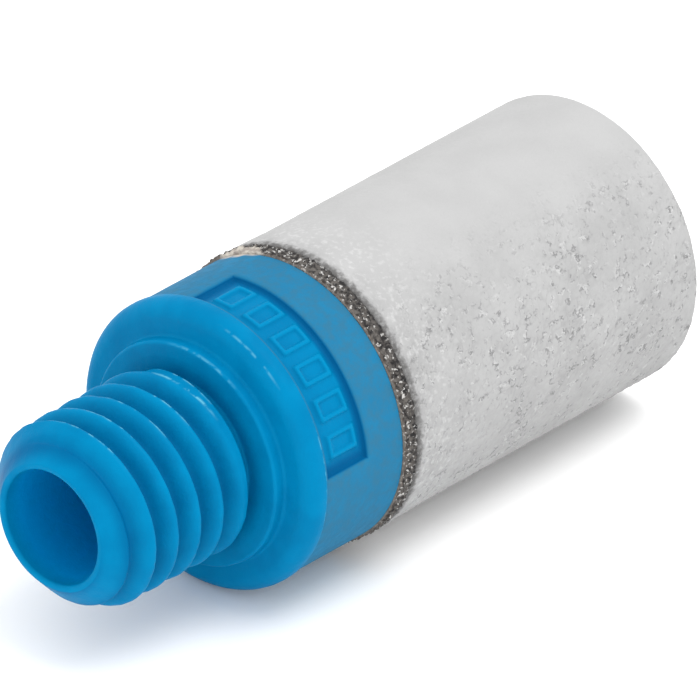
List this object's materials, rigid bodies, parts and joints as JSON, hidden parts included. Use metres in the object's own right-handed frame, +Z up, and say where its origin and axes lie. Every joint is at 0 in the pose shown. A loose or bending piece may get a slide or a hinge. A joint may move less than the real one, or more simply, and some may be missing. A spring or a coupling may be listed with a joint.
{
  "type": "pneumatic muffler",
  "caption": "Compact pneumatic exhaust muffler: threaded plastic body with a hollow porous plastic cup that lets exhaust air out quietly.",
  "frame": {"origin": "centre of the sealing face, the front face of the boss that meets the port, on the thread's axis", "axes": "X along the muffler's axis, the thread towards -X and the cup's closed end towards +X; Z up with the muffler lying on its side"},
  "size_m": [0.0195, 0.0078, 0.0078],
  "materials": {
    "body_plastic": "satin moulded acetal, bright blue",
    "porous_plastic": "dull, finely grained sintered polyethylene, off-white",
    "bond_adhesive": "rough, dark grey-brown adhesive with grains showing through"
  },
  "bodies": {
    "root": {"threaded_stem": "body_plastic", "collar": "body_plastic", "porous_cup": "porous_plastic", "bond_ring": "bond_adhesive"}
  },
  "joints": []
}
